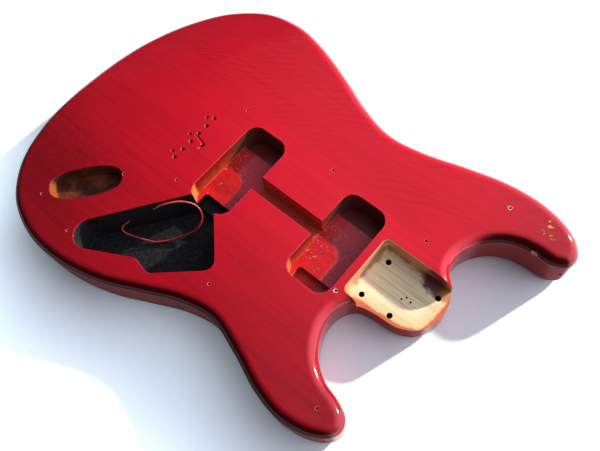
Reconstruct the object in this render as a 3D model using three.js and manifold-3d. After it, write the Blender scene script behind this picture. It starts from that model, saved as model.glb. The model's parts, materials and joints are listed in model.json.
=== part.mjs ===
// Solid electric guitar body with its hardware taken off, lying on its back.
// Sizes are in millimetres. +X points along the strings to the neck, +Y to the bass side, +Z out of the face.
// The origin is on the back face, on the centre line, half way along the body.

import * as THREE from 'three';
import { mergeVertices } from 'three/addons/utils/BufferGeometryUtils.js';
import Module from 'manifold-3d';

const wasm = await Module();
wasm.setup();

// Wooden body
const bodyLength = 464;
const bodyWidth = 327;
const bodyThickness = 44.5;
const edgeShare = 0.029;
const edgeRadius = edgeShare * bodyWidth;
const centreBoardWidth = 116;
const cutOverrun = 2;

// Forearm contour on the face and belly contour on the back, both on the bass side. Their places are shares
// of the body's length and width from the origin.
const forearmSlope = 0.22;
const forearmBlend = 22;
const forearmTailShares = [-0.481, -0.174];
const forearmWaistShares = [-0.196, 0.450];
const bellyCentreShares = [0.032, 0.526];
const bellyHalfLengthShare = 0.269;
const bellyReachShare = 0.361;
const bellyDepth = 27;

// String line: everything that belongs to the scale length is measured from it
const stringLineFromTail = 138;
const stringLineX = stringLineFromTail - bodyLength / 2;
const stringPitch = 10.5;
const stringCount = 6;
const stringHoleRadius = 1.6;

// Pickup cavities, each with a shelf in the middle and a deeper pocket at both ends
const pickupCavityWidth = 43;
const pickupCavityLength = 90;
const pickupCornerRadius = 12;
const pickupShelfDepth = 19;
const pickupShelfLength = 57.5;
const pickupShelfMiddle = -1.25;
const pickupEndDepth = 28;
const bridgePickupFromStrings = 55.3;
const neckPickupFromStrings = 167.6;
const channelWidth = 13.7;
const channelDepth = 19;

// Neck pocket and its bolts
const neckPocketFromStrings = 197.5;
const neckPocketWidth = 57.6;
const neckPocketDepth = 16;
const neckPocketCornerRadius = 5;
const neckBoltRadius = 2.5;
const neckBoltFromWall = 11;
const neckBoltSpacingAcross = 36;
const neckBoltBassSpacing = 50;
const neckBoltTrebleSpacing = 28.5;
const pocketPinRadius = 0.9;
const pocketPinDepth = 6;

// Control cavity: a round lobe at the tail end and a wide end under the bridge pickup
const controlDepth = 36;
const controlLength = 123;
const controlWidth = 99;
const controlLobeRadius = 14;
const controlTailX = -112.5;
const controlTrebleY = -141;
const controlLobeStartDegrees = -60;
const controlLobeEndDegrees = 141;

// Jack cavity and the wiring hole between it and the control cavity
const jackX = -140.2;
const jackY = -95.3;
const jackLength = 66.4;
const jackWidth = 29.5;
const jackSquareness = 2.6;
const jackOutlinePoints = 64;
const jackTurnDegrees = 48.7;
const jackDepth = 15;
const jackWiringRadius = 4;
const jackWiringDepth = 9;
const jackWiringY = -118;
const jackWiringTailX = -150;
const jackWiringNeckX = -100;

// Screw holes
const guardScrewRadius = 1.1;
const guardScrewDepth = 14;
const bridgeScrewRadius = 1.4;
const bridgeScrewDepth = 20;
const bridgeScrewsFromStrings = -6.2;
const bridgeScrewPitch = 22.8;
const bridgeScrewCount = 3;
const strapScrewRadius = 1.6;
const strapScrewDepth = 25;
const strapHornShares = [0.493, 0.302];
const strapHornTurnDegrees = -32;

// String ferrules pressed into the back
const ferruleRadius = 4;
const ferruleLength = 10;
const ferruleFlangeRadius = 4.5;
const ferruleFlangeHeight = 1;
const ferruleSeatRadius = 2.5;
const ferruleSeatDepth = 7;
const ferruleClearance = 0.3;

// Ground wire and the two drillings that hold it
const wireRadius = 0.8;
const wireCoreRadius = 0.4;
const wireCoreLength = 4;
const wireGap = 0.3;
const wireStep = 4;
const wireHoleRadius = 1.75;
const wireBend = 3;
const wireSetback = 3;
const wireSides = 8;

// Shallow groove in the face that leads to the wire's drilling
const grooveRadius = 1.6;
const grooveLength = 15.7;

// Facets
const outlineStepsPerPoint = 3;
const edgeSteps = 4;
const contourSteps = 4;
const cornerSteps = 5;
const holeSides = 12;
const boreSides = 16;

// Points of the body's outline, clockwise from the tail, as shares of its length and width
const outlineShares = [
  [0.000, 0.060], [0.012, 0.187], [0.046, 0.315], [0.103, 0.426], [0.181, 0.491], [0.252, 0.499],
  [0.347, 0.472], [0.442, 0.422], [0.521, 0.373], [0.593, 0.346], [0.667, 0.357], [0.753, 0.391],
  [0.830, 0.415], [0.897, 0.418], [0.949, 0.402], [0.980, 0.378], [0.999, 0.342], [0.994, 0.306],
  [0.969, 0.286], [0.939, 0.286], [0.905, 0.278], [0.875, 0.255], [0.851, 0.217], [0.838, 0.167],
  [0.842, 0.122], [0.864, 0.089], [0.877, 0.050], [0.877, 0.002], [0.861, -0.042], [0.830, -0.068],
  [0.786, -0.075], [0.755, -0.086], [0.738, -0.119], [0.733, -0.161], [0.742, -0.207], [0.765, -0.253],
  [0.799, -0.284], [0.834, -0.297], [0.860, -0.317], [0.868, -0.350], [0.852, -0.385], [0.818, -0.409],
  [0.771, -0.419], [0.717, -0.407], [0.648, -0.373], [0.576, -0.347], [0.511, -0.366], [0.442, -0.412],
  [0.368, -0.462], [0.275, -0.496], [0.188, -0.496], [0.108, -0.455], [0.049, -0.369], [0.017, -0.253],
  [0.005, -0.112],
];

// Corners of the control cavity's wide end, as shares of its length and width, with how far each is cut back
const controlCornerShares = [
  [0.480, 1.000, 0.00], [0.673, 1.000, 0.00], [1.000, 0.594, 0.09], [0.656, 0.214, 0.04], [0.508, 0.245, 0.03],
];

// Screw holes in the face, as shares of the body's length and width from the origin
const guardScrewShares = [
  [-0.162, 0.158], [-0.163, -0.128], [-0.250, -0.420], [0.034, -0.286], [0.280, 0.142],
  [0.215, -0.100], [0.060, 0.156], [0.317, -0.343], [0.358, 0.347],
];
const jackScrewShares = [[-0.255, -0.208], [-0.352, -0.393]];

// Small pin holes in the neck pocket's floor, as shares of the pocket's width from its inner wall and centre
const pocketPinShares = [[0.667, -0.017], [0.712, 0.047], [0.797, 0.024]];

// Groove in the face: along and across from the drilling as shares of the groove's length,
// and how far the middle of its round cut lies over the face, as a share of its radius
const grooveShares = [
  [-1.00, 0.280, 0.97], [-0.88, 0.240, 0.80], [-0.64, 0.210, 0.65], [-0.46, 0.180, 0.60], [-0.28, 0.140, 0.60],
  [-0.12, 0.095, 0.50], [0.00, 0.000, 0.30],
];

// Ground wire, from under the face, down the drillings and round the control cavity
const wireMouth = [-82.2, -1.6, 44.2];
const wireElbow = [-82.2, -13.4, 28.7];
const wireExit = [-93.4, -99.7, 22.7];
const loopRoute = [
  wireExit, [-93.7, -102.0, 22.5], [-91.6, -104.2, 21.2], [-86.8, -103.4, 18.4], [-80.9, -100.4, 15.4],
  [-73.7, -96.7, 12.3], [-66.0, -92.3, 10.3], [-59.4, -85.9, 10.1], [-53.2, -78.4, 11.3], [-47.0, -70.5, 14.0], [-40.9, -62.3, 18.0],
  [-39.4, -56.1, 21.5], [-40.8, -50.5, 25.0], [-45.0, -47.2, 29.5], [-50.4, -47.3, 34.0], [-55.4, -50.6, 38.5],
  [-60.0, -56.0, 42.7], [-64.3, -63.2, 45.3], [-68.0, -69.3, 45.5], [-69.3, -71.9, 45.0],
];

const cherryWood = { color: 0x9c0f1e, roughness: 0.18, metalness: 0 };
const ferruleMetal = { color: 0xc9c9c4, roughness: 0.3, metalness: 1 };
const wireJacket = { color: 0xb02020, roughness: 0.45, metalness: 0 };
const wireCopper = { color: 0xb87448, roughness: 0.35, metalness: 1 };

function solidFrom(geometry) {
  const bare = geometry.index ? geometry.toNonIndexed() : geometry;
  bare.deleteAttribute('normal');
  bare.deleteAttribute('uv');
  const merged = mergeVertices(bare);
  const vertProperties = new Float32Array(merged.attributes.position.array);
  const triVerts = new Uint32Array(merged.index.array);
  return new wasm.Manifold(new wasm.Mesh({ numProp: 3, vertProperties, triVerts }));
}

function geometryFrom(solid) {
  const { vertProperties, triVerts } = solid.getMesh();
  const geometry = new THREE.BufferGeometry();
  geometry.setAttribute('position', new THREE.BufferAttribute(new Float32Array(vertProperties), 3));
  geometry.setIndex(new THREE.BufferAttribute(new Uint32Array(triVerts), 1));
  return geometry;
}

function piece(name, geometry, finish) {
  const mesh = new THREE.Mesh(geometry, new THREE.MeshStandardMaterial(finish));
  mesh.name = name;
  return mesh;
}

// A prism of a flat shape that starts at the given depth under the face and runs out past it
function cutFromFace(shape, depth) {
  const settings = { depth: depth + cutOverrun, bevelEnabled: false, curveSegments: cornerSteps };
  const geometry = new THREE.ExtrudeGeometry(shape, settings);
  geometry.translate(0, 0, bodyThickness - depth);
  return solidFrom(geometry);
}

// A round hole between two points
function drill(from, to, radius, sides) {
  const axis = new THREE.Vector3().subVectors(to, from);
  const geometry = new THREE.CylinderGeometry(radius, radius, axis.length(), sides);
  const turn = new THREE.Quaternion().setFromUnitVectors(new THREE.Vector3(0, 1, 0), axis.clone().normalize());
  const middle = new THREE.Vector3().addVectors(from, to).multiplyScalar(0.5);
  geometry.applyQuaternion(turn);
  geometry.translate(middle.x, middle.y, middle.z);
  return solidFrom(geometry);
}

function faceHole(x, y, depth, radius) {
  const bottom = new THREE.Vector3(x, y, bodyThickness - depth);
  const top = new THREE.Vector3(x, y, bodyThickness + cutOverrun);
  return drill(bottom, top, radius, holeSides);
}

function roundedRectangle(width, length, radius) {
  const x = width / 2;
  const y = length / 2;
  const shape = new THREE.Shape();
  shape.moveTo(x - radius, -y);
  shape.absarc(x - radius, radius - y, radius, -Math.PI / 2, 0);
  shape.absarc(x - radius, y - radius, radius, 0, Math.PI / 2);
  shape.absarc(radius - x, y - radius, radius, Math.PI / 2, Math.PI);
  shape.absarc(radius - x, radius - y, radius, Math.PI, 1.5 * Math.PI);
  return shape;
}

// The outline as a loop of points, anticlockwise seen from the face, with the outward direction at each
function outlineLoop() {
  const guide = outlineShares.map(([along, across]) => new THREE.Vector3(along, across, 0)).reverse();
  const curve = new THREE.CatmullRomCurve3(guide, true, 'centripetal');
  const points = curve.getPoints(outlineShares.length * outlineStepsPerPoint).slice(0, -1);
  const box = new THREE.Box3().setFromPoints(points);
  const reach = box.getSize(new THREE.Vector3());
  const loop = points.map((point) => new THREE.Vector2(
    ((point.x - box.min.x) / reach.x - 0.5) * bodyLength,
    ((point.y - box.min.y) / reach.y - 0.5) * bodyWidth,
  ));
  return loop.map((point, i) => {
    const before = loop[(i + loop.length - 1) % loop.length];
    const after = loop[(i + 1) % loop.length];
    const along = new THREE.Vector2().subVectors(after, before).normalize();
    return { point, outward: new THREE.Vector2(along.y, -along.x) };
  });
}

function placeFromShares([along, across]) {
  return new THREE.Vector2(along * bodyLength, across * bodyWidth);
}

const forearmStart = placeFromShares(forearmTailShares);
const forearmLine = placeFromShares(forearmWaistShares).sub(forearmStart).normalize();
const forearmOut = new THREE.Vector2(-forearmLine.y, forearmLine.x);

function pastForearmLine(point) {
  return new THREE.Vector2().subVectors(point, forearmStart).dot(forearmOut);
}

// How far the face drops under the player's forearm: a soft crease, then a flat slope
function forearmDrop(point) {
  const past = pastForearmLine(point);
  if (past <= 0) {
    return 0;
  }
  return past < forearmBlend
    ? forearmSlope * past * past / (2 * forearmBlend)
    : forearmSlope * (past - forearmBlend / 2);
}

const bellyCentre = placeFromShares(bellyCentreShares);
const bellyHalfLength = bellyHalfLengthShare * bodyLength;
const bellyReach = bellyReachShare * bodyWidth;

// 0 at the middle of the belly scoop, which lies outside the body, and 1 where the scoop ends
function bellyShare(point) {
  return Math.hypot((point.x - bellyCentre.x) / bellyHalfLength, (point.y - bellyCentre.y) / bellyReach);
}

function bellyRise(point) {
  const share = bellyShare(point);
  return share < 1 ? bellyDepth * (1 - share) ** 1.5 : 0;
}

// Both faces of the blank are the ring of the rounded edge closed by a flat part and a strip of
// contour, whose points run from the ring to the contour's inner line
const face = {
  inContour: (point) => pastForearmLine(point) > 0,
  foot: (point) => point.clone().addScaledVector(forearmOut, -pastForearmLine(point)),
  height: (point) => bodyThickness - forearmDrop(point),
};
const back = {
  inContour: (point) => bellyShare(point) < 1,
  foot: (point) => point.clone().sub(bellyCentre).divideScalar(bellyShare(point)).add(bellyCentre),
  height: (point) => bellyRise(point),
};

function closeFace(ring, side) {
  const inside = ring.map((point) => side.inContour(point));
  const count = ring.length;
  const start = inside.findIndex((value, i) => value && !inside[(i + count - 1) % count]);
  const order = ring.map((_, i) => ring[(start + i) % count]);
  const rows = order.filter((point) => side.inContour(point)).map((point) => {
    const foot = side.foot(point);
    const steps = Array.from({ length: contourSteps + 1 }, (_, k) => k / contourSteps);
    return steps.map((share) => (share === 0 ? point : point.clone().lerp(foot, share)));
  });
  const flat = order.slice(rows.length);
  const ends = [flat[flat.length - 1], flat[0]];
  const faces = [];
  for (let k = 0; k < contourSteps; k += 1) {
    faces.push([ends[0], rows[0][k], rows[0][k + 1]]);
    for (let i = 0; i + 1 < rows.length; i += 1) {
      faces.push([rows[i][k], rows[i + 1][k], rows[i + 1][k + 1]]);
      faces.push([rows[i][k], rows[i + 1][k + 1], rows[i][k + 1]]);
    }
    faces.push([rows[rows.length - 1][k], ends[1], rows[rows.length - 1][k + 1]]);
  }
  const rest = flat.concat(rows.map((row) => row[contourSteps]));
  for (const corners of THREE.ShapeUtils.triangulateShape(rest, [])) {
    faces.push(corners.map((index) => rest[index]));
  }
  return faces;
}

// The blank: a rounded back edge, a straight side and a rounded face edge, closed by the two faces
function bodyBlank() {
  const loop = outlineLoop();
  const turns = Array.from({ length: edgeSteps + 1 }, (_, k) => (k / edgeSteps) * Math.PI / 2);
  const ringAt = (inset) => loop.map(({ point, outward }) => point.clone().addScaledVector(outward, -inset));
  const backRings = turns.map((turn) => {
    const ring = ringAt(edgeRadius * (1 - Math.sin(turn)));
    const rise = edgeRadius * (1 - Math.cos(turn));
    return ring.map((point) => new THREE.Vector3(point.x, point.y, back.height(point) + rise));
  });
  const faceRings = turns.map((turn) => {
    const ring = ringAt(edgeRadius * (1 - Math.cos(turn)));
    const fall = edgeRadius * (1 - Math.sin(turn));
    return ring.map((point) => new THREE.Vector3(point.x, point.y, face.height(point) - fall));
  });
  const rings = backRings.concat(faceRings);
  const corners = [];
  for (let k = 0; k + 1 < rings.length; k += 1) {
    loop.forEach((_, i) => {
      const next = (i + 1) % loop.length;
      corners.push(rings[k][i], rings[k][next], rings[k + 1][next]);
      corners.push(rings[k][i], rings[k + 1][next], rings[k + 1][i]);
    });
  }
  const rim = ringAt(edgeRadius);
  const lift = (point, side) => new THREE.Vector3(point.x, point.y, side.height(point));
  closeFace(rim, face).forEach(([a, b, c]) => corners.push(lift(a, face), lift(b, face), lift(c, face)));
  closeFace(rim, back).forEach(([a, b, c]) => corners.push(lift(a, back), lift(c, back), lift(b, back)));
  return solidFrom(new THREE.BufferGeometry().setFromPoints(corners));
}

function pickupCavity(fromStrings) {
  const shape = roundedRectangle(pickupCavityWidth, pickupCavityLength, pickupCornerRadius);
  const shelf = cutFromFace(shape, pickupShelfDepth);
  const middle = roundedRectangle(pickupCavityWidth + cutOverrun, pickupShelfLength, 0);
  const kept = cutFromFace(middle, pickupEndDepth + cutOverrun).translate([0, pickupShelfMiddle, 0]);
  const ends = cutFromFace(shape, pickupEndDepth).subtract(kept);
  return shelf.add(ends).translate([stringLineX + fromStrings, 0, 0]);
}

function pickupChannel() {
  const length = neckPickupFromStrings - bridgePickupFromStrings;
  const shape = roundedRectangle(length, channelWidth, 0);
  const middle = stringLineX + (neckPickupFromStrings + bridgePickupFromStrings) / 2;
  return cutFromFace(shape, channelDepth).translate([middle, 0, 0]);
}

// The pocket is open at the heel, so it runs on to the body's end
const neckPocketX = stringLineX + neckPocketFromStrings;
const neckPocketFloorZ = bodyThickness - neckPocketDepth;

function neckPocket() {
  const length = bodyLength / 2 - neckPocketX;
  const shape = roundedRectangle(length, neckPocketWidth, neckPocketCornerRadius);
  return cutFromFace(shape, neckPocketDepth).translate([neckPocketX + length / 2, 0, 0]);
}

function neckBoltHoles() {
  const places = [
    [neckBoltFromWall, neckBoltSpacingAcross / 2],
    [neckBoltFromWall, -neckBoltSpacingAcross / 2],
    [neckBoltFromWall + neckBoltBassSpacing, neckBoltSpacingAcross / 2],
    [neckBoltFromWall + neckBoltTrebleSpacing, -neckBoltSpacingAcross / 2],
  ];
  return places.map(([along, across]) => {
    const x = neckPocketX + along;
    const bottom = new THREE.Vector3(x, across, -cutOverrun);
    return drill(bottom, new THREE.Vector3(x, across, bodyThickness), neckBoltRadius, holeSides);
  });
}

function pocketPinHoles() {
  return pocketPinShares.map(([along, across]) => {
    const x = neckPocketX + along * neckPocketWidth;
    return faceHole(x, across * neckPocketWidth, neckPocketDepth + pocketPinDepth, pocketPinRadius);
  });
}

// Goes round a corner on a curve that starts and ends the given distance from it
function roundCorner(shape, before, corner, after, cut) {
  const start = corner.clone().add(before.clone().sub(corner).setLength(cut));
  const end = corner.clone().add(after.clone().sub(corner).setLength(cut));
  shape.lineTo(start.x, start.y);
  shape.quadraticCurveTo(corner.x, corner.y, end.x, end.y);
}

function controlCavity() {
  const lobe = new THREE.Vector2(controlTailX + controlLobeRadius, controlTrebleY + controlLobeRadius);
  const lobeStart = THREE.MathUtils.degToRad(controlLobeStartDegrees);
  const lobeEnd = THREE.MathUtils.degToRad(controlLobeEndDegrees);
  const onLobe = (angle) => new THREE.Vector2(Math.cos(angle), Math.sin(angle))
    .multiplyScalar(controlLobeRadius).add(lobe);
  const corners = controlCornerShares.map(([along, across]) => new THREE.Vector2(
    controlTailX + along * controlLength,
    controlTrebleY + across * controlWidth,
  ));
  const shape = new THREE.Shape();
  shape.moveTo(corners[0].x, corners[0].y);
  controlCornerShares.forEach(([, , cutShare], i) => {
    if (i > 0 && cutShare > 0) {
      const after = i + 1 < corners.length ? corners[i + 1] : onLobe(lobeStart);
      roundCorner(shape, corners[i - 1], corners[i], after, cutShare * controlLength);
    } else if (i > 0) {
      shape.lineTo(corners[i].x, corners[i].y);
    }
  });
  shape.lineTo(onLobe(lobeStart).x, onLobe(lobeStart).y);
  shape.absarc(lobe.x, lobe.y, controlLobeRadius, lobeStart, lobeEnd, true);
  return cutFromFace(shape, controlDepth);
}

// An oval a little squarer than an ellipse
function jackOutline() {
  const bulge = (value) => Math.sign(value) * Math.abs(value) ** (2 / jackSquareness);
  const points = Array.from({ length: jackOutlinePoints }, (_, i) => {
    const angle = (i / jackOutlinePoints) * 2 * Math.PI;
    return new THREE.Vector2((bulge(Math.cos(angle)) * jackLength) / 2, (bulge(Math.sin(angle)) * jackWidth) / 2);
  });
  return new THREE.Shape(points);
}

function jackCavity() {
  return cutFromFace(jackOutline(), jackDepth).rotate([0, 0, jackTurnDegrees]).translate([jackX, jackY, 0]);
}

function jackWiringHole() {
  const z = bodyThickness - jackWiringDepth;
  const from = new THREE.Vector3(jackWiringTailX, jackWiringY, z);
  return drill(from, new THREE.Vector3(jackWiringNeckX, jackWiringY, z), jackWiringRadius, holeSides);
}

function screwHoles() {
  const small = guardScrewShares.concat(jackScrewShares).map(placeFromShares).map(({ x, y }) => (
    faceHole(x, y, guardScrewDepth, guardScrewRadius)
  ));
  const bridge = Array.from({ length: bridgeScrewCount }, (_, i) => {
    const y = (i - (bridgeScrewCount - 1) / 2) * bridgeScrewPitch;
    return faceHole(stringLineX + bridgeScrewsFromStrings, y, bridgeScrewDepth, bridgeScrewRadius);
  });
  return small.concat(bridge);
}

function strapHoles() {
  const horn = placeFromShares(strapHornShares);
  const places = [[horn, THREE.MathUtils.degToRad(strapHornTurnDegrees)], [placeFromShares([-0.5, 0]), Math.PI]];
  return places.map(([place, turn]) => {
    const middle = new THREE.Vector3(place.x, place.y, bodyThickness / 2);
    const outward = new THREE.Vector3(Math.cos(turn), Math.sin(turn), 0);
    const inside = middle.clone().addScaledVector(outward, -strapScrewDepth);
    return drill(inside, middle.addScaledVector(outward, strapScrewDepth), strapScrewRadius, holeSides);
  });
}

const stringPlaces = Array.from({ length: stringCount }, (_, i) => (i - (stringCount - 1) / 2) * stringPitch);

function stringHole(y) {
  const bottom = new THREE.Vector3(stringLineX, y, -cutOverrun);
  const top = new THREE.Vector3(stringLineX, y, bodyThickness + cutOverrun);
  const ferruleTop = new THREE.Vector3(stringLineX, y, ferruleLength + ferruleClearance);
  const flangeTop = new THREE.Vector3(stringLineX, y, ferruleFlangeHeight + ferruleClearance);
  return drill(bottom, top, stringHoleRadius, holeSides)
    .add(drill(bottom, ferruleTop, ferruleRadius + ferruleClearance, boreSides))
    .add(drill(bottom, flangeTop, ferruleFlangeRadius + ferruleClearance, boreSides));
}

// A flanged bush that holds a string's ball end, with its flange flush with the back
function ferrule() {
  const profile = [
    [ferruleSeatRadius, 0],
    [ferruleFlangeRadius, 0],
    [ferruleFlangeRadius, ferruleFlangeHeight],
    [ferruleRadius, ferruleFlangeHeight],
    [ferruleRadius, ferruleLength],
    [stringHoleRadius, ferruleLength],
    [stringHoleRadius, ferruleSeatDepth],
    [ferruleSeatRadius, ferruleSeatDepth],
    [ferruleSeatRadius, 0],
  ].map(([radius, height]) => new THREE.Vector2(radius, height));
  const geometry = new THREE.LatheGeometry(profile, boreSides);
  geometry.rotateX(Math.PI / 2);
  return geometry;
}

function curveThrough(route) {
  return new THREE.CatmullRomCurve3(route.map((point) => new THREE.Vector3(...point)), false, 'centripetal');
}

const mouthPoint = new THREE.Vector3(...wireMouth);
const elbowPoint = new THREE.Vector3(...wireElbow);
const exitPoint = new THREE.Vector3(...wireExit);

// The wire is drawn through two straight drillings that meet under the face
function wireDrillings() {
  const down = new THREE.Vector3().subVectors(elbowPoint, mouthPoint).normalize();
  const along = new THREE.Vector3().subVectors(exitPoint, elbowPoint).normalize();
  const above = mouthPoint.clone().addScaledVector(down, -wireHoleRadius - cutOverrun);
  const below = elbowPoint.clone().addScaledVector(down, wireHoleRadius);
  const behind = elbowPoint.clone().addScaledVector(along, -wireHoleRadius);
  const entry = exitPoint.clone().addScaledVector(along, wireHoleRadius + cutOverrun);
  return drill(above, below, wireHoleRadius, holeSides).add(drill(behind, entry, wireHoleRadius, holeSides));
}

// A trough in the face, deepest where it meets the drilling
function wireGroove() {
  const places = grooveShares.map(([along, across, rise]) => [
    wireMouth[0] + along * grooveLength, wireMouth[1] + across * grooveLength, bodyThickness + rise * grooveRadius,
  ]);
  return solidFrom(wireTube(curveThrough(places), grooveRadius, 0, 0));
}

function drilledCurve() {
  const bendStart = elbowPoint.clone().add(mouthPoint.clone().sub(elbowPoint).setLength(wireBend));
  const bendEnd = elbowPoint.clone().add(exitPoint.clone().sub(elbowPoint).setLength(wireBend));
  const path = new THREE.CurvePath();
  path.add(new THREE.LineCurve3(mouthPoint, bendStart));
  path.add(new THREE.QuadraticBezierCurve3(bendStart, elbowPoint, bendEnd));
  path.add(new THREE.LineCurve3(bendEnd, exitPoint));
  return path;
}

// A round tube along a curve, cut back by the given lengths at its two ends
function wireTube(whole, radius, startTrim, endTrim) {
  const length = whole.getLength();
  const count = Math.max(2, Math.round((length - startTrim - endTrim) / wireStep));
  const places = Array.from({ length: count + 1 }, (_, i) => {
    const run = startTrim + (i / count) * (length - startTrim - endTrim);
    return whole.getPointAt(run / length);
  });
  const shape = new THREE.Shape();
  Array.from({ length: wireSides }, (_, i) => (i / wireSides) * 2 * Math.PI).forEach((angle, i) => {
    const corner = [radius * Math.cos(angle), radius * Math.sin(angle)];
    if (i === 0) {
      shape.moveTo(...corner);
    } else {
      shape.lineTo(...corner);
    }
  });
  const path = new THREE.CatmullRomCurve3(places, false, 'centripetal');
  return new THREE.ExtrudeGeometry(shape, { steps: count, bevelEnabled: false, extrudePath: path });
}

// The bare copper end that stands out of the jacket, straight on from the route's last two points
function wireCore(last, before) {
  const end = new THREE.Vector3(...last);
  const direction = new THREE.Vector3().subVectors(end, new THREE.Vector3(...before)).normalize();
  const start = end.clone().addScaledVector(direction, wireGap);
  const tip = start.clone().addScaledVector(direction, wireCoreLength);
  return wireTube(new THREE.LineCurve3(start, tip), wireCoreRadius, 0, 0);
}

function cutBlank() {
  const cuts = [
    pickupCavity(bridgePickupFromStrings),
    pickupCavity(neckPickupFromStrings),
    pickupChannel(),
    neckPocket(),
    controlCavity(),
    jackCavity(),
    jackWiringHole(),
    wireDrillings(),
    wireGroove(),
    ...neckBoltHoles(),
    ...pocketPinHoles(),
    ...screwHoles(),
    ...strapHoles(),
    ...stringPlaces.map(stringHole),
  ];
  return cuts.reduce((solid, cut) => solid.subtract(cut), bodyBlank());
}

// A slab of space between two glue joints
function boardSpace(lowY, highY) {
  const width = highY - lowY;
  const geometry = new THREE.BoxGeometry(bodyLength + cutOverrun, width, bodyThickness + cutOverrun);
  geometry.translate(0, lowY + width / 2, bodyThickness / 2);
  return solidFrom(geometry);
}

const guitarBody = new THREE.Group();

const carved = cutBlank();
const seam = centreBoardWidth / 2;
const outside = bodyWidth / 2 + cutOverrun;
const boards = {
  body_board_bass: [seam, outside],
  body_board_centre: [-seam, seam],
  body_board_treble: [-outside, -seam],
};
Object.entries(boards).forEach(([name, [lowY, highY]]) => {
  guitarBody.add(piece(name, geometryFrom(carved.intersect(boardSpace(lowY, highY))), cherryWood));
});

stringPlaces.forEach((y, i) => {
  const bush = piece(`string_ferrule_${i + 1}`, ferrule(), ferruleMetal);
  bush.position.set(stringLineX, y, 0);
  guitarBody.add(bush);
});

const halfGap = wireGap / 2;
guitarBody.add(piece('ground_wire_drilled', wireTube(drilledCurve(), wireRadius, wireSetback, halfGap), wireJacket));
guitarBody.add(piece('ground_wire_loop', wireTube(curveThrough(loopRoute), wireRadius, halfGap, 0), wireJacket));
guitarBody.add(piece('ground_wire_core_cavity', wireCore(loopRoute.at(-1), loopRoute.at(-2)), wireCopper));

export default guitarBody;
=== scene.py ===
import json
import math

import bpy
import numpy as np
from mathutils import Matrix, Vector

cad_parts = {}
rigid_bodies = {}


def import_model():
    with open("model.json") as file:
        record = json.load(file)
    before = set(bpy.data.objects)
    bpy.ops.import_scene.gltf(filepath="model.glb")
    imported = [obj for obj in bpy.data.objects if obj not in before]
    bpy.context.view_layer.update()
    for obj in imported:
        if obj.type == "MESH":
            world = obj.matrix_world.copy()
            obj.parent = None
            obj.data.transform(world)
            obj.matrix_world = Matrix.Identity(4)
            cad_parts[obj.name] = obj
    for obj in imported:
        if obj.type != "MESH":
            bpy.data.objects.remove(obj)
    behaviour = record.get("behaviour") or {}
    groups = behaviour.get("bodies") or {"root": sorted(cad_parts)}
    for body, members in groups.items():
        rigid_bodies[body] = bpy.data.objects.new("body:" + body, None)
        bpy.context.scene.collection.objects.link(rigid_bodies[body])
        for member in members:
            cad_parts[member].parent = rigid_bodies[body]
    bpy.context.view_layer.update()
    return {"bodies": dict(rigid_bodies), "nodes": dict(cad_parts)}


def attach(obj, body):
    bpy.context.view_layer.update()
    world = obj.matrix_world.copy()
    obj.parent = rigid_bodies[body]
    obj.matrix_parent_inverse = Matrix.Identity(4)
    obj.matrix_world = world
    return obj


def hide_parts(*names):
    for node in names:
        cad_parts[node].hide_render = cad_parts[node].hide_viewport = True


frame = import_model()
bodyName = list(frame["bodies"])[0]
print("frame loaded, body", bodyName)

mm = 0.001
hair = 0.001 * mm

photoCamera = {
    "place": (0.21386, -0.14595, 0.51623),
    "ahead": (-0.33341, 0.26596, -0.90449),
    "right": (0.75459, 0.65042, -0.08691),
    "lens": 37.185,
    "sensor": 36.0,
    "near": 10 * mm,
}


def addCamera(settings):
    bpy.ops.object.camera_add()
    camera = bpy.context.object
    camera.name = "photoCamera"
    right = Vector(settings["right"]).normalized()
    behind = -Vector(settings["ahead"]).normalized()
    above = behind.cross(right).normalized()
    turn = Matrix((right, above, behind)).transposed().to_4x4()
    camera.matrix_world = Matrix.Translation(settings["place"]) @ turn
    camera.data.sensor_fit = "HORIZONTAL"
    camera.data.sensor_width = settings["sensor"]
    camera.data.lens = settings["lens"]
    camera.data.clip_start = settings["near"]
    bpy.context.scene.camera = camera


addCamera(photoCamera)
print("camera placed")


def objectMode():
    if bpy.context.object and bpy.context.object.mode != "OBJECT":
        bpy.ops.object.mode_set(mode="OBJECT")


def pick(*objects):  # selects these alone, the last one active, or nothing
    objectMode()
    bpy.ops.object.select_all(action="DESELECT")
    for item in objects:
        item.select_set(True)
        bpy.context.view_layer.objects.active = item


def editMode(item, kind="VERT", whole=False):
    pick(item)
    bpy.ops.object.mode_set(mode="EDIT")
    bpy.ops.mesh.select_mode(type=kind)
    bpy.ops.mesh.select_all(action="SELECT" if whole else "DESELECT")


def selectFaces(item, test):
    editMode(item, "FACE")
    bpy.ops.object.mode_set(mode="OBJECT")
    for polygon in item.data.polygons:
        polygon.select = test(polygon)
    bpy.ops.object.mode_set(mode="EDIT")


def selectEdges(item, test):
    editMode(item, "EDGE")
    bpy.ops.object.mode_set(mode="OBJECT")
    places = [vertex.co.copy() for vertex in item.data.vertices]
    for edge in item.data.edges:
        edge.select = test(places[edge.vertices[0]], places[edge.vertices[1]])
    bpy.ops.object.mode_set(mode="EDIT")


def extrudeUp(height):
    bpy.ops.mesh.extrude_region_move(TRANSFORM_OT_translate={"value": (0, 0, height)})


def bisect(place, facing, **settings):
    bpy.ops.mesh.bisect(plane_co=place, plane_no=facing, **settings)


def outwardNormals(item):
    editMode(item, whole=True)
    bpy.ops.mesh.normals_make_consistent(inside=False)
    objectMode()


def modify(item, kind, **settings):  # adds a modifier and applies it
    modifier = item.modifiers.new(kind.lower(), kind)
    for key, value in settings.items():
        setattr(modifier, key, value)
    pick(item)
    bpy.ops.object.modifier_apply(modifier=modifier.name)


def smoothByAngle(item, degrees):
    pick(item)
    bpy.ops.object.shade_smooth_by_angle(angle=math.radians(degrees))


def bakeTransform():
    bpy.ops.object.transform_apply(location=True, rotation=True, scale=True)


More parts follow.
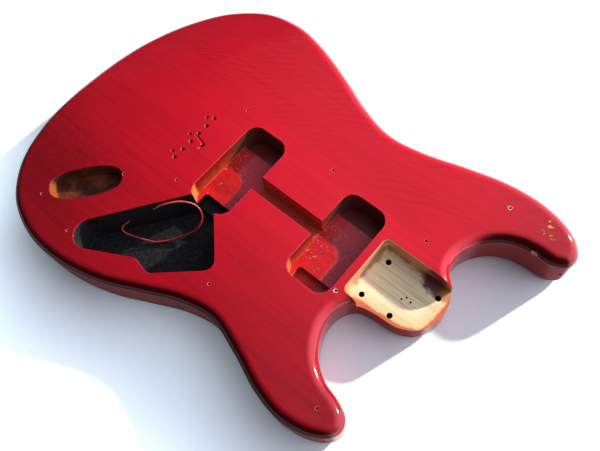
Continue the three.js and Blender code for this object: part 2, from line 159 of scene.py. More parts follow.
def copyOf(item, name):
    pick(item)
    bpy.ops.object.duplicate()
    twin = bpy.context.object
    twin.name = name
    return twin


def joinFrame(item, node):
    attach(item, bodyName)
    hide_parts(node)


def flatShape(name, points, z):  # one flat face through a loop of points
    pick()
    bpy.ops.mesh.primitive_circle_add(vertices=len(points), radius=1, fill_type="NGON")
    shape = bpy.context.object
    shape.name = name
    for vertex, (x, y) in zip(shape.data.vertices, points):
        vertex.co = (x, y, z)
    return shape


def block(name, points, z, height):  # left in edit mode with its top selected
    shape = flatShape(name, points, z)
    editMode(shape, whole=True)
    extrudeUp(height)
    return shape


def offsetLoop(points, distance):  # moves a closed anticlockwise loop outwards, with mitred corners
    loop = np.array(points, dtype=float)
    ahead = np.roll(loop, -1, axis=0) - loop
    ahead /= np.linalg.norm(ahead, axis=1, keepdims=True)
    after = np.stack([ahead[:, 1], -ahead[:, 0]], axis=1)
    before = np.roll(after, 1, axis=0)
    share = 1 + np.sum(after * before, axis=1, keepdims=True)
    return loop + distance * (after + before) / np.maximum(share, 0.3)


def raiseRing(item, rise, fromLoop, toLoop):  # extrudes the selected face up and moves its corners to a new loop
    extrudeUp(rise)
    bpy.ops.object.mode_set(mode="OBJECT")
    for vertex in item.data.vertices:
        if vertex.select:
            gaps = np.hypot(fromLoop[:, 0] - vertex.co.x, fromLoop[:, 1] - vertex.co.y)
            vertex.co.x, vertex.co.y = toLoop[int(np.argmin(gaps))]
    bpy.ops.object.mode_set(mode="EDIT")


def smoothCurve(guide, steps, closed):  # centripetal curve through the guide points
    guide = np.array(guide, dtype=float)
    count = len(guide)
    spans = count if closed else count - 1

    def at(index):
        if closed:
            return guide[index % count]
        if index < 0:
            return 2 * guide[0] - guide[1]
        return guide[index] if index < count else 2 * guide[-1] - guide[-2]

    found = []
    for span in range(spans):
        a, b, c, d = at(span - 1), at(span), at(span + 1), at(span + 2)
        t0, t1, t2 = (max(float(np.sum((q - p) ** 2)) ** 0.25, 1e-6) for p, q in ((a, b), (b, c), (c, d)))
        leave = ((b - a) / t0 - (c - a) / (t0 + t1) + (c - b) / t1) * t1
        arrive = ((c - b) / t1 - (d - b) / (t1 + t2) + (d - c) / t2) * t1
        for step in range(steps):
            t = step / steps
            found.append(b + leave * t + (3 * (c - b) - 2 * leave - arrive) * t * t
                         + (2 * (b - c) + leave + arrive) * t ** 3)
    if not closed:
        found.append(guide[-1])
    return np.array(found)


class Term:  # a socket that takes plain arithmetic
    def __init__(self, shader, socket):
        self.shader, self.socket = shader, socket

    def __add__(self, other):
        return self.shader.math("ADD", self, other)

    def __sub__(self, other):
        return self.shader.math("SUBTRACT", self, other)

    def __rsub__(self, other):
        return self.shader.math("SUBTRACT", other, self)

    def __mul__(self, other):
        return self.shader.math("MULTIPLY", self, other)

    def __truediv__(self, other):
        return self.shader.math("DIVIDE", self, other)

    def __abs__(self):
        return self.shader.math("ABSOLUTE", self)


class Shader:  # short names for adding and linking nodes
    def __init__(self, tree):
        self.tree = tree

    def node(self, kind, **settings):
        made = self.tree.nodes.new(kind)
        for key, value in settings.items():
            setattr(made, key, value)
        return made

    def outs(self, node):
        return {socket.name: Term(self, socket) for socket in node.outputs}

    def feed(self, socket, value):
        if isinstance(value, Term):
            self.tree.links.new(value.socket, socket)
        elif value is not None:
            socket.default_value = (*value, 1) if socket.type == "RGBA" else value

    def fill(self, node, values):
        for key, value in values.items():
            self.feed(node.inputs[key], value)
        return node

    def add(self, kind, values, out=0, **settings):  # gives one output of a new node
        return Term(self, self.fill(self.node(kind, **settings), values).outputs[out])

    def math(self, operation, first, second=None, clamp=False):
        return self.add("ShaderNodeMath", {0: first, 1: second}, operation=operation, use_clamp=clamp)

    def hypot(self, first, second):
        return self.math("SQRT", first * first + second * second)

    def dot(self, first, second):
        return self.add("ShaderNodeVectorMath", {0: first, 1: second}, "Value", operation="DOT_PRODUCT")

    def mix(self, share, first, second):
        return self.add("ShaderNodeMix", {0: share, 6: first, 7: second}, 2, data_type="RGBA")

    # one scale for all directions, or one for each, then moved and turned about the upright
    def noise(self, vector, scale, detail=3.0, roughness=0.5, distortion=0.0, at=(0, 0, 0), turn=0.0):
        if isinstance(scale, tuple):
            vector = self.add("ShaderNodeMapping", {
                "Vector": vector, "Location": at, "Rotation": (0, 0, turn), "Scale": scale})
            scale = 1.0
        return self.add("ShaderNodeTexNoise", {
            "Vector": vector, "Scale": scale, "Detail": detail, "Roughness": roughness, "Distortion": distortion})

    def ramp(self, share, stops):
        made = self.node("ShaderNodeValToRGB")
        bar = made.color_ramp.elements
        while len(bar) < len(stops):
            bar.new(0.5)
        for element, (place, colour) in zip(bar, stops):
            element.position = place
            element.color = (*colour, 1)
        return Term(self, self.fill(made, {0: share}).outputs[0])

    def split(self, vector):
        return list(self.outs(self.fill(self.node("ShaderNodeSeparateXYZ"), {0: vector})).values())

    def reach(self, value, low, high, toLow=0.0, toHigh=1.0):
        return self.add("ShaderNodeMapRange", dict(enumerate((value, low, high, toLow, toHigh))),
                        interpolation_type="SMOOTHSTEP")

    def bump(self, height, strength, distance):
        return self.add("ShaderNodeBump", {"Strength": strength, "Distance": distance, "Height": height})

    def facing(self):
        return self.outs(self.node("ShaderNodeNewGeometry"))["Normal"]


class Look(Shader):  # a new material
    def __init__(self, name):
        self.material = bpy.data.materials.new(name)
        self.material.use_nodes = True
        super().__init__(self.material.node_tree)
        self.place = self.outs(self.node("ShaderNodeTexCoord"))["Object"]

    def finish(self, colour, roughness, specular=None, metallic=None, coat=None, coatRoughness=None, normal=None,
               others=()):
        self.fill(self.tree.nodes["Principled BSDF"], {
            "Base Color": colour, "Roughness": roughness, "Specular IOR Level": specular, "Metallic": metallic,
            "Coat Weight": coat, "Coat Roughness": coatRoughness, "Normal": normal, **dict(others)})
        return self.material


body = {
    "length": 464 * mm,
    "width": 327 * mm,
    "thickness": 44.5 * mm,
    "edgeRadius": 0.029 * 327 * mm,
    "edgeSegments": 10,
    "stepsPerPoint": 8,
    "seam": 58 * mm,
    "forearmSlope": 0.22,
    "forearmBlend": 22 * mm,
    "forearmTail": (-0.481, -0.174),
    "forearmWaist": (-0.196, 0.450),
    "forearmCuts": 10,
    "bellyCentre": (0.032, 0.526),
    "bellyReach": (0.269, 0.361),
    "bellyDepth": 27 * mm,
    "bellyGrid": 6 * mm,
    "outline": [
        (0.000, 0.060), (0.012, 0.187), (0.046, 0.315), (0.103, 0.426), (0.181, 0.491), (0.252, 0.499),
        (0.347, 0.472), (0.442, 0.422), (0.521, 0.373), (0.593, 0.346), (0.667, 0.357), (0.753, 0.391),
        (0.830, 0.415), (0.897, 0.418), (0.949, 0.402), (0.980, 0.378), (0.999, 0.342), (0.994, 0.306),
        (0.969, 0.286), (0.939, 0.286), (0.905, 0.278), (0.875, 0.255), (0.851, 0.217), (0.838, 0.167),
        (0.842, 0.122), (0.864, 0.089), (0.877, 0.050), (0.877, 0.002), (0.861, -0.042), (0.830, -0.068),
        (0.786, -0.075), (0.755, -0.086), (0.738, -0.119), (0.733, -0.161), (0.742, -0.207), (0.765, -0.253),
        (0.799, -0.284), (0.834, -0.297), (0.860, -0.317), (0.868, -0.350), (0.852, -0.385), (0.818, -0.409),
        (0.771, -0.419), (0.717, -0.407), (0.648, -0.373), (0.576, -0.347), (0.511, -0.366), (0.442, -0.412),
        (0.368, -0.462), (0.275, -0.496), (0.188, -0.496), (0.108, -0.455), (0.049, -0.369), (0.017, -0.253),
        (0.005, -0.112),
    ],
}
faceZ = body["thickness"]
cavity = {
    "lip": 0.8 * mm,
    "lipSteps": 4,
    "above": 4 * mm,
    "stringLine": -94 * mm,
    "channel": {"from": -32 * mm, "to": 66 * mm, "width": 13.7 * mm, "depth": 19 * mm},
    "pickup": {"size": (43 * mm, 90 * mm), "corner": 12 * mm, "shelf": 19 * mm, "shelfBass": 27.5 * mm,
               "shelfTreble": -30 * mm, "ends": 28 * mm, "inset": 5 * mm, "insetTurn": 3.5 * mm,
               "bareCorner": 6 * mm, "overlap": 2 * mm, "places": ((-38.7 * mm, True), (73.6 * mm, False))},
    "pocket": {"wall": 103.5 * mm, "width": 57.6 * mm, "depth": 16 * mm, "corner": 5 * mm, "to": 240 * mm,
               "lip": 0.5 * mm, "floorRadius": 0.6 * mm},
    "jack": {"place": (-140.2 * mm, -95.3 * mm), "length": 66.4 * mm, "width": 29.5 * mm, "squareness": 2.6,
             "turn": 48.7, "depth": 15 * mm, "steps": 64, "markRadius": 0.45 * mm,
             "mark": [(-143.8, -85.8), (-148.2, -90.8), (-149.8, -95.7), (-147.7, -98.1), (-142.9, -97.9),
                      (-135.8, -93.4), (-131.3, -88.0), (-129.6, -83.3), (-129.4, -78.4)]},
    "control": {
        "depth": 36 * mm, "length": 123 * mm, "width": 99 * mm, "tail": -112.5 * mm, "treble": -141 * mm,
        "lobe": 14 * mm, "lobeFrom": -60, "lobeTo": 141, "floorRadius": 1.0 * mm,
        "corners": [(0.480, 1.000, 0.00), (0.673, 1.000, 0.00), (1.000, 0.594, 0.09), (0.656, 0.214, 0.04),
                    (0.508, 0.245, 0.03)],
    },
    "wiring": {"from": (-150 * mm, -118 * mm, 35.5 * mm), "to": (-100 * mm, -118 * mm, 35.5 * mm), "radius": 4 * mm},
}
lacquer = {
    "bright": (0.66, 0.006, 0.020),
    "deep": (0.17, 0.001, 0.004),
    "side": (0.17, 0.003, 0.004),
    # painted shade and painted reflections on the edges that face away from the light, from upright sides to the
    # face: a dark band and a thin pale line
    "edge": [(0.0, (0.21, 0.032, 0.030)), (0.10, (0.24, 0.034, 0.030)), (0.15, (0.46, 0.13, 0.12)),
             (0.20, (0.12, 0.010, 0.010)), (0.32, (0.05, 0.003, 0.004)), (0.84, (0.055, 0.002, 0.003)),
             (0.98, (0.26, 0.002, 0.007))],
    "darkSide": (-0.39, -0.92, 0.0),
    "edgeCoat": 0.82,
    # painted shade: the face darkens towards the side away from the light
    "low": {"ahead": (-0.62, -0.78), "from": 0.13, "to": 0.21, "share": 0.22},
    "fibreShare": 0.12,
    "poreShare": 0.06,
    "cloudShare": 0.16,
    # painted light falloff: the face darkens away from a lit middle, more slowly towards the tail
    "paintedLightFalloff": {"middle": (0.055, 0.075), "tailStretch": 1.5, "from": 0.04, "to": 0.24, "share": 0.62},
    "boards": {
        "bass": {"Heart": 0.20, "Under": 0.20, "Slope": 0.20, "Spacing": 0.0026, "Waver": 0.03},
        "centre": {"Heart": 0.22, "Under": 0.10, "Slope": 0.03, "Spacing": 0.0055, "Waver": 0.08},
        "treble": {"Heart": -0.09, "Under": 0.045, "Slope": 0.16, "Spacing": 0.0024, "Waver": 0.03},
    },
    "ringShares": {"bass": 0.16, "centre": 0.07, "treble": 0.07},
}


# growth rings round a tilted heart line, as the board's faces cut them, with fibres and pores
def grainGroup():
    tree = bpy.data.node_groups.new("boardGrain", "ShaderNodeTree")
    tree.interface.new_socket("Vector", in_out="INPUT", socket_type="NodeSocketVector")
    for way, labels in (("INPUT", lacquer["boards"]["bass"]), ("OUTPUT", ("Rings", "Fibre", "Pores", "Cloud"))):
        for label in labels:
            tree.interface.new_socket(label, in_out=way, socket_type="NodeSocketFloat")
    shader = Shader(tree)
    given, end = shader.outs(shader.node("NodeGroupInput")), shader.node("NodeGroupOutput")
    vector = given["Vector"]
    x, y, z = shader.split(vector)
    slow = shader.noise(vector, (5, 11, 11), 2.0)
    wander = shader.noise(vector, (14, 45, 45), at=(3, 1, 2))
    uneven = shader.noise(vector, (3, 22, 22), 1.0, at=(7, 5, 1))
    patchy = shader.noise(vector, (12, 30, 30), 2.0, at=(1, 8, 4))
    dashes = shader.noise(vector, (60, 1100, 1100), 1.0, at=(5, 5, 5))
    shift = (slow - 0.5 + (wander - 0.5) * 0.3) * given["Waver"]
    radius = shader.hypot(y - given["Heart"] + shift, z + given["Under"] + x * given["Slope"] + shift)
    count = radius / given["Spacing"] + uneven * 4.0
    rings = shader.ramp(shader.math("FRACT", count), [
        (place, (level,) * 3) for place, level in ((0.0, 0), (0.5, 0.25), (0.8, 1), (0.9, 0.8), (1.0, 0))])
    shader.fill(end, {
        "Rings": rings * shader.reach(patchy, 0.3, 0.7, 0.15, 1.0),
        "Fibre": shader.noise(vector, (9, 260, 260), 3.0, 0.6),
        "Pores": shader.reach(dashes, 0.62, 0.72),
        "Cloud": slow})
    return tree


boardGrain = grainGroup()


def boardNode(look, board):
    made = look.node("ShaderNodeGroup", node_tree=boardGrain)
    return look.outs(look.fill(made, {"Vector": look.place, **lacquer["boards"][board]}))


def lacquerMaterial(board):
    look = Look("cherryLacquer_" + board)
    grain = boardNode(look, board)
    x, y, z = look.split(look.place)
    paintedLightFalloff, low = lacquer["paintedLightFalloff"], lacquer["low"]
    along = x - paintedLightFalloff["middle"][0]
    along = look.math("MAXIMUM", along, along / -paintedLightFalloff["tailStretch"])
    away = look.hypot(along, y - paintedLightFalloff["middle"][1])
    lower = x * low["ahead"][0] + y * low["ahead"][1]
    # the dark share holds the grain, and also painted shade towards the side away from the light and away from the
    # lit middle
    dark = grain["Rings"] * lacquer["ringShares"][board]
    for value, share in ((look.reach(grain["Fibre"], 0.3, 0.75), lacquer["fibreShare"]),
                         (look.reach(lower, low["from"], low["to"]), low["share"]),
                         (grain["Pores"], lacquer["poreShare"]),
                         (look.reach(away, paintedLightFalloff["from"], paintedLightFalloff["to"]), paintedLightFalloff["share"]),
                         (look.reach(grain["Cloud"], 0.3, 0.7), lacquer["cloudShare"])):
        dark = look.math("ADD", dark, value * share, clamp=True)
    colour = look.mix(dark, lacquer["bright"], lacquer["deep"])
    # the stain goes deeper into the edges; on the side away from the light the edges also get painted shade and
    # painted reflection bands, with a thinner coat
    facing = look.facing()
    upright = abs(look.split(facing)[2])
    colour = look.mix(look.reach(upright, 0.8, 0.1, 0.0, 0.7), colour, lacquer["side"])
    paintedShadeShare = look.reach(look.dot(facing, lacquer["darkSide"]), 0.02, 0.30) * look.reach(upright, 0.995, 0.90)
    colour = look.mix(paintedShadeShare, colour, look.ramp(upright, lacquer["edge"]))
    return look.finish(colour, 0.45, specular=0.0, coat=paintedShadeShare * -lacquer["edgeCoat"] + 1.0, coatRoughness=0.07,
                       normal=look.bump(grain["Rings"], 0.05, 0.3 * mm),
                       others={"Coat Normal": look.bump(look.noise(look.place, 45, 2.0), 0.10, 1 * mm)})


def plainWood(name, light, dark, board, roughness, coat=0.0):
    look = Look(name)
    grain = boardNode(look, board)
    fibre = look.reach(grain["Fibre"], 0.3, 0.75)
    share = look.math("ADD", grain["Rings"] * 0.5, fibre * 0.3, clamp=True)
    return look.finish(look.mix(share, light, dark), roughness, specular=0.15, coat=coat, coatRoughness=0.12,
                       normal=look.bump(fibre, 0.25, 0.2 * mm))


routed = {
    "red": (0.60, 0.010, 0.012), "redDeep": (0.42, 0.007, 0.009), "speck": (0.80, 0.42, 0.36),
    "paintedShadeEarRed": (0.28, 0.026, 0.022), "paintedSheen": (0.56, 0.075, 0.12), "wall": (0.13, 0.026, 0.018),
    "wallTop": (0.20, 0.006, 0.003), "wallPaintedLit": (0.38, 0.038, 0.007), "corner": (0.66, 0.24, 0.055),
    "foot": (0.58, 0.14, 0.035),
    "paintedSheenAt": (-22 * mm, 90 * mm), "cornerY": -35 * mm, "ears": 29 * mm, "footHeight": 1.5 * mm,
    "shelf": faceZ - cavity["pickup"]["shelf"],
    "turn": 0.35,
}


def routedFloor():  # lacquer over the marks of the router, with dust in it, a painted mauve reflection towards the neck and painted shade in the deep end on the bass side
    look = Look("routedFloor")
    place = look.place
    x, y, z = look.split(place)
    smear = look.noise(place, (30, 90, 30), 2.0)
    colour = look.mix(look.reach(smear, 0.35, 0.7), routed["red"], routed["redDeep"])
    patches = look.noise(place, (90, 90, 90), 1.0, at=(27, 9, 0))
    dust = look.reach(look.noise(place, 520, 2.0, 0.6), 0.60, 0.70) * look.reach(patches, 0.46, 0.60)
    colour = look.mix(dust * 0.6, colour, routed["speck"])
    # a painted mauve reflection over the half towards the neck of either recess, and further over on the bass side
    least = look.math("MINIMUM", *(abs(x - middle) for middle in routed["paintedSheenAt"]))
    least = least - look.reach(y, -6 * mm, 4 * mm, 0.0, 13 * mm)
    paintedSheen = look.reach(look.noise(place, (330, 1100, 330), 3.0, 0.6, turn=routed["turn"]), 0.35, 0.65, 0.22, 0.62)
    colour = look.mix(look.reach(least, 14 * mm, 10 * mm) * paintedSheen, colour, routed["paintedSheen"])
    # painted shade darkens the deep end on the bass side
    deep = look.reach(z, routed["shelf"] - 1 * mm, routed["shelf"] - 3 * mm) * look.math("GREATER_THAN", y, 0.0)
    ridges = look.bump(look.noise(place, (110, 480, 110), 4.0, 0.7, turn=routed["turn"]), 0.6, 0.6 * mm)
    return look.finish(look.mix(deep, colour, routed["paintedShadeEarRed"]), 0.4, specular=0.0, coat=1.0, coatRoughness=0.06,
                       normal=ridges, others={"Coat Normal": ridges})


def routedWall():  # stained sides of the pickup recesses, with painted light on the walls that face the tail and painted shade towards the bass end
    look = Look("routedWall")
    shelf, foot = routed["shelf"], routed["footHeight"]
    x, y, z = look.split(look.place)
    towards = look.split(look.facing())[0]
    marks = look.noise(look.place, (130, 130, 70), 5.0, 0.7, 0.6)
    tail = look.reach(towards, 0.3, 0.9)
    height = (marks - 0.5) * (22 * mm) + z
    paintedLitWall = look.mix(look.reach(height, shelf + 15 * mm, shelf + 4 * mm), routed["wallTop"], routed["wallPaintedLit"])
    # painted shade: the lit walls darken towards the bass end
    paintedLitWall = look.mix(look.reach(y, 0.0, 24 * mm), paintedLitWall, routed["wall"])
    corner = look.reach(y, routed["cornerY"] + 1 * mm, routed["cornerY"] - 1 * mm) * look.reach(towards, 0.05, 0.3)
    paintedLitWall = look.mix(corner * look.reach(marks, 0.35, 0.65, 0.4, 1.0), paintedLitWall, routed["corner"])
    # the walls that face the tail, and the corner at their treble end, take the painted light colour, the other walls
    # the plain wall colour
    colour = look.mix(look.math("MAXIMUM", tail, corner), routed["wall"], paintedLitWall)
    # a bright ragged line along the foot of the wall, between the deep ends
    ragged = look.noise(look.place, 160, 2.0) * (foot * 1.6) + z
    low = look.reach(ragged, shelf + foot * 1.5, shelf + foot * 2.1, 1.0, 0.0)
    low = low * look.math("LESS_THAN", abs(y), routed["ears"])
    return look.finish(look.mix(low * (tail * 0.8), colour, routed["foot"]), 0.4, specular=0.2, coat=0.3,
                       coatRoughness=0.15, normal=look.bump(marks, 0.4, 0.4 * mm))


def blackPaint():
    look = Look("shieldingPaint")
    worn = look.reach(look.noise(look.place, 420, 3.0, 0.65), 0.40, 0.75)
    grit = look.noise(look.place, 600, 3.0, 0.6)
    return look.finish(look.mix(worn, (0.013, 0.0115, 0.0125), (0.033, 0.030, 0.032)), 0.5, specular=0.12,
                       normal=look.bump(grit, 0.3, 0.3 * mm))


pocketLook = {
    "pale": (0.92, 0.75, 0.45), "streak": (0.66, 0.49, 0.28), "stain": (0.45, 0.16, 0.05),
    "border": (0.55, 0.07, 0.018), "heel": (0.78, 0.38, 0.11), "fleck": (0.90, 0.86, 0.80),
    "spot": (0.12, 0.008, 0.009), "fleckAt": (115.8 * mm, 0.5 * mm), "spotAt": (163.9 * mm, 27.6 * mm),
    "spotStretch": 0.55, "turnAt": (152.5 * mm, 0.5 * mm), "turnRadius": 22.5 * mm, "widen": 0.13,
    "borderWidth": 3 * mm, "ragged": 14 * mm,
}


def pocketWood():  # bare wood with dark streaks, stained at the walls and bordered by lacquer at the heel
    look = Look("pocketWood")
    looks, pocket = pocketLook, cavity["pocket"]
    x, y, z = look.split(look.place)
    streaks = look.noise(look.place, (9, 420, 420), 4.0, 0.65, turn=0.02)
    colour = look.mix(look.reach(streaks, 0.50, 0.68), looks["pale"], looks["streak"])
    ragged = (look.noise(look.place, 90, 4.0, 0.65) - 0.5) * looks["ragged"]
    # the distance from the side walls and from the wall at the end
    wall = look.math("MINIMUM", pocket["width"] / 2 - abs(y), x - pocket["wall"]) + ragged
    colour = look.mix(look.reach(wall, 4.5 * mm, 0.5 * mm, 0.0, 0.85), colour, looks["stain"])
    # a dark red spill by the bass wall near the heel
    spill = look.hypot((x - looks["spotAt"][0]) * looks["spotStretch"], y - looks["spotAt"][1]) + ragged
    colour = look.mix(look.reach(spill, 12.5 * mm, 8 * mm, 0.0, 0.96), colour, looks["spot"])
    # the distance from the heel's rim, taken as a rectangle with one rounded corner
    past = x - looks["turnAt"][0]
    away = look.hypot(look.math("MAXIMUM", past, 0.0), look.math("MINIMUM", y - looks["turnAt"][1], 0.0))
    rim = looks["turnRadius"] - look.math("MINIMUM", past, 0.0) * looks["widen"] - away + ragged * 0.5
    colour = look.mix(look.reach(rim, 16 * mm, 4 * mm, 0.0, 0.55), colour, looks["heel"])
    border = look.reach(rim, looks["borderWidth"] + 1.5 * mm, looks["borderWidth"] - 0.5 * mm, 0.0, 0.9)
    colour = look.mix(border, colour, looks["border"])
    fleck = look.reach(look.hypot(x - looks["fleckAt"][0], y - looks["fleckAt"][1]), 1.6 * mm, 0.8 * mm)
    return look.finish(look.mix(fleck, colour, looks["fleck"]), 0.55, normal=look.bump(streaks, 0.3, 0.3 * mm))


jackLook = {
    "dark": (0.055, 0.014, 0.008), "brown": (0.19, 0.050, 0.020), "end": (0.30, 0.075, 0.02),
    "middle": (-140 * mm, -95 * mm), "ahead": (0.66, 0.751), "endFrom": -31.2 * mm, "endTo": -32.8 * mm,
    "ragged": 12 * mm,
}


def jackWood():  # dark stained floor, with painted light on the end that faces the light
    look = Look("jackWood")
    x, y, z = look.split(look.place)
    smear = look.noise(look.place, (60, 60, 60), 4.0, 0.65)
    colour = look.mix(look.reach(smear, 0.35, 0.7), jackLook["dark"], jackLook["brown"])
    along = (x - jackLook["middle"][0]) * jackLook["ahead"][0] + (y - jackLook["middle"][1]) * jackLook["ahead"][1]
    # painted light on the end of the cavity that faces the light
    end = look.reach(along + (smear - 0.5) * jackLook["ragged"], jackLook["endFrom"], jackLook["endTo"])
    return look.finish(look.mix(end, colour, jackLook["end"]), 0.35, specular=0.15, coat=0.25, coatRoughness=0.15,
                       normal=look.bump(smear, 0.3, 0.6 * mm))


finishes = {
    **{"lacquer_" + board: lacquerMaterial(board) for board in lacquer["boards"]},
    "pickupFloor": routedFloor(),
    "pickupWall": routedWall(),
    "shielding": blackPaint(),
    "jackWood": jackWood(),
    "pocketWood": pocketWood(),
    **{row[0]: plainWood(*row) for row in (
        ("channelWood", (0.52, 0.07, 0.038), (0.20, 0.018, 0.011), "bass", 0.35, 0.2),
        ("chippedWood", (0.78, 0.50, 0.34), (0.55, 0.30, 0.18), "centre", 0.7),
        ("bruisedWood", (0.58, 0.36, 0.14), (0.30, 0.16, 0.07), "bass", 0.6),
        ("rimWood", (0.60, 0.17, 0.14), (0.42, 0.09, 0.07), "centre", 0.5),
        ("jointWood", (0.62, 0.40, 0.20), (0.45, 0.26, 0.11), "centre", 0.7),
        # painted shade: near-black walls for drilled holes, bores and the drill mark
        ("paintedShadeHoleWood", (0.06, 0.012, 0.008), (0.025, 0.005, 0.004), "centre", 0.7))},
}
print("materials made")


def placeOf(along, across):
    return np.array([along * body["length"], across * body["width"]])


creaseStart = placeOf(*body["forearmTail"])
creaseLine = placeOf(*body["forearmWaist"]) - creaseStart
creaseLine /= np.linalg.norm(creaseLine)
creaseOut = np.array([-creaseLine[1], creaseLine[0]])
bellyCentre = placeOf(*body["bellyCentre"])
bellyReach = placeOf(*body["bellyReach"])


def forearmDrop(x, y):
    past = (x - creaseStart[0]) * creaseOut[0] + (y - creaseStart[1]) * creaseOut[1]
    blend = body["forearmBlend"]
    if past <= 0:
        return 0.0
    return body["forearmSlope"] * (past * past / (2 * blend) if past < blend else past - blend / 2)


def bellyRise(x, y):
    share = math.hypot((x - bellyCentre[0]) / bellyReach[0], (y - bellyCentre[1]) / bellyReach[1])
    return body["bellyDepth"] * (1 - share) ** 1.5 if share < 1 else 0.0


def bodyOutline():
    loop = smoothCurve(body["outline"][::-1], body["stepsPerPoint"], True)
    low, high = loop.min(axis=0), loop.max(axis=0)
    return ((loop - low) / (high - low) - 0.5) * placeOf(1, 1)


def bodyBlank():
    blank = block("bodyBlank", bodyOutline(), 0, faceZ)
    outwardNormals(blank)
    selectEdges(blank, lambda a, b: abs(a.z - b.z) < 1 * mm)
    bpy.ops.mesh.bevel(offset_type="OFFSET", offset=body["edgeRadius"], segments=body["edgeSegments"],
                       profile=0.5, affect="EDGES", clamp_overlap=False)
    # lines across the flat face where the forearm contour bends
    for cut in range(body["forearmCuts"] + 1):
        spot = creaseStart + creaseOut * (body["forearmBlend"] * cut / body["forearmCuts"])
        selectFaces(blank, lambda polygon: polygon.normal.z > 0.9999)
        bisect((*spot, faceZ), (*creaseOut, 0))
    # a net of lines on the back under the belly contour
    step = body["bellyGrid"]
    for axis, edge in ((0, 1), (1, body["width"] / 2)):
        low = max(bellyCentre[axis] - bellyReach[axis], -edge)
        high = min(bellyCentre[axis] + bellyReach[axis], edge)
        for cut in range(int((high - low) / step) + 1):
            spot, facing = [0, 0, 0], [0, 0, 0]
            spot[axis], facing[axis] = low + step * cut, 1
            selectFaces(blank, lambda polygon: polygon.normal.z < -0.9999)
            bisect(spot, facing)
    objectMode()
    for vertex in blank.data.vertices:
        x, y, z = vertex.co
        vertex.co.z = z - forearmDrop(x, y) if z > faceZ / 2 else z + bellyRise(x, y)
    return blank


def cutBoard(blank, name, low, high):
    board = copyOf(blank, name)
    for y, facing in ((low, -1), (high, 1)):
        if y is not None:
            editMode(board, whole=True)
            bisect((0, y, 0), (0, facing, 0), use_fill=True, clear_outer=True)
    objectMode()
    return board


blank = bodyBlank()
seam = body["seam"]
boards = {
    "bass": cutBoard(blank, "bodyBoardBass", seam, None),
    "centre": cutBoard(blank, "bodyBoardCentre", -seam, seam),
    "treble": cutBoard(blank, "bodyBoardTreble", None, -seam),
}
bpy.data.objects.remove(blank)
for side, board in boards.items():
    outwardNormals(board)
    board.data.materials.clear()
    board.data.materials.append(finishes["lacquer_" + side])
    board.data.materials.append(finishes["jointWood"])
    for polygon in board.data.polygons:
        flat = abs(abs(polygon.center.y) - seam) < 0.01 * mm and abs(polygon.normal.y) > 0.99
        polygon.material_index = 1 if flat else 0
print("boards made")


def arc(centre, radius, start, stop, steps):
    angles = np.linspace(math.radians(start), math.radians(stop), steps + 1)
    return np.stack([centre[0] + radius * np.cos(angles), centre[1] + radius * np.sin(angles)], axis=1)


def roundedRectangle(width, length, radius, steps=10):
    x, y = width / 2 - radius, length / 2 - radius
    corners = [((x, -y), -90), ((x, y), 0), ((-x, y), 90), ((-x, -y), 180)]
    return np.concatenate([arc(centre, radius, start, start + 90, steps) for centre, start in corners])


def turnLoop(loop, degrees, place):
    c, s = math.cos(math.radians(degrees)), math.sin(math.radians(degrees))
    return loop @ np.array([[c, s], [-s, c]]) + np.array(place)


def controlLoop():
    c = cavity["control"]
    lobe = (c["tail"] + c["lobe"], c["treble"] + c["lobe"])
    corners = [np.array([c["tail"] + along * c["length"], c["treble"] + across * c["width"]])
               for along, across, cut in c["corners"]]
    onLobe = arc(lobe, c["lobe"], c["lobeFrom"], c["lobeTo"] - 360, 32)
    loop = []
    for i, (corner, (along, across, cut)) in enumerate(zip(corners, c["corners"])):
        if not cut:
            loop.append(corner)
            continue
        start, stop = (corner + (other - corner) / np.linalg.norm(other - corner) * cut * c["length"]
                       for other in (corners[i - 1], corners[i + 1] if i + 1 < len(corners) else onLobe[0]))
        for t in np.linspace(0, 1, 13):
            loop.append(start * (1 - t) ** 2 + corner * 2 * t * (1 - t) + stop * t * t)
    return np.concatenate([np.array(loop), onLobe])[::-1]


def finishFaces(item, finish, test):  # gives the faces that pass the test another material
    item.data.materials.append(finishes[finish])
    for polygon in item.data.polygons:
        if test(polygon):
            polygon.material_index = len(item.data.materials) - 1


# a closed block that stands in a cavity: it flares out at the face, where the lacquer rounds the edge
def cutter(name, loop, depth, finish, rimFinish=None, lip=cavity["lip"], floorRadius=0):
    loop = np.array(loop)
    floor = faceZ - depth
    made = block(name, loop, floor, depth - lip)
    last, height = loop, -lip
    for step in range(1, cavity["lipSteps"] + 1):
        angle = math.pi / 2 * step / cavity["lipSteps"]
        ring = offsetLoop(loop, lip * (1 - math.cos(angle)))
        rise = lip * math.sin(angle) - lip - height
        raiseRing(made, rise, last, ring)
        last, height = ring, height + rise
    extrudeUp(cavity["above"])
    outwardNormals(made)
    made.data.materials.append(finishes[finish])
    if rimFinish:
        finishFaces(made, rimFinish, lambda polygon: polygon.center.z > faceZ - lip)
    if floorRadius:
        selectEdges(made, lambda a, b: abs(a.z - floor) < hair and abs(b.z - floor) < hair)
        bpy.ops.mesh.bevel(offset=floorRadius, segments=3, affect="EDGES", clamp_overlap=True)
        objectMode()
    return made


